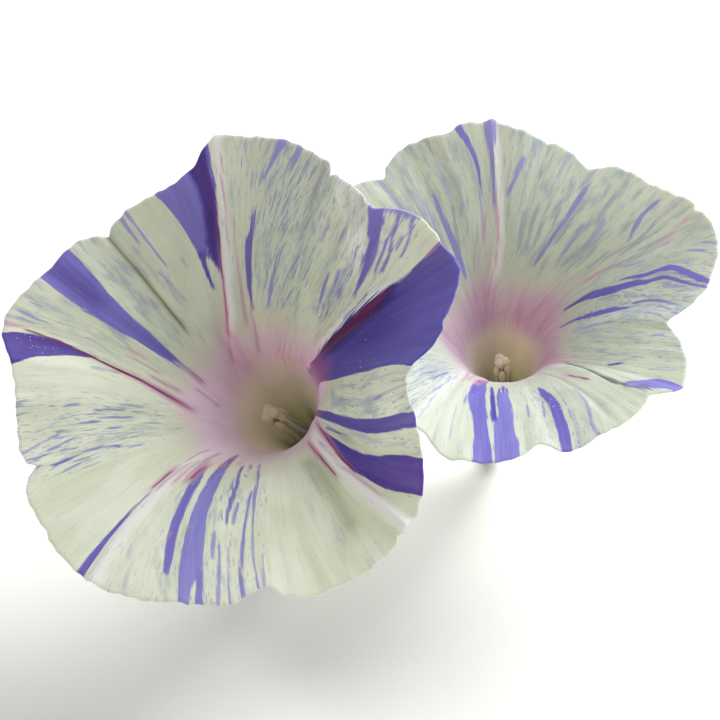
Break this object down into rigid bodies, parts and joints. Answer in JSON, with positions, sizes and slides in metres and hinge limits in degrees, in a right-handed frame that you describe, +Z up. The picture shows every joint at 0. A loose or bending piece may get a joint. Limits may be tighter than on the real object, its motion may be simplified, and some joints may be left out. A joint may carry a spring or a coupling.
{
  "type": "morning glory sprig",
  "caption": "Cut sprig of striped morning glory: two open funnel flowers on a forked stalk, a piece of twining stem and heart-shaped leaves, lying down.",
  "frame": {"origin": "on the surface under the middle of the sprig's box", "axes": "+Z up; -Y the way the front flower's mouth leans; +X to the right when the mouths are seen from the front"},
  "size_m": [0.1048, 0.1549, 0.0718],
  "materials": {
    "petal": "matt velvety petal, greenish white with violet stripes and flecks",
    "leaf": "satin green leaf with paler veins",
    "stem": "hairy green stem tissue, tinged purple",
    "cream": "matt cream filaments, anthers and stigma"
  },
  "bodies": {
    "root": {"vine_stem": "stem", "leaf_1": "leaf", "leaf_2": "leaf", "leaf_3": "leaf", "calyx_front": "stem", "calyx_rear": "stem", "corolla_front": "petal", "corolla_rear": "petal", "stamens_front": "cream", "stamens_rear": "cream", "pistil_front": "cream", "pistil_rear": "cream"}
  },
  "joints": []
}
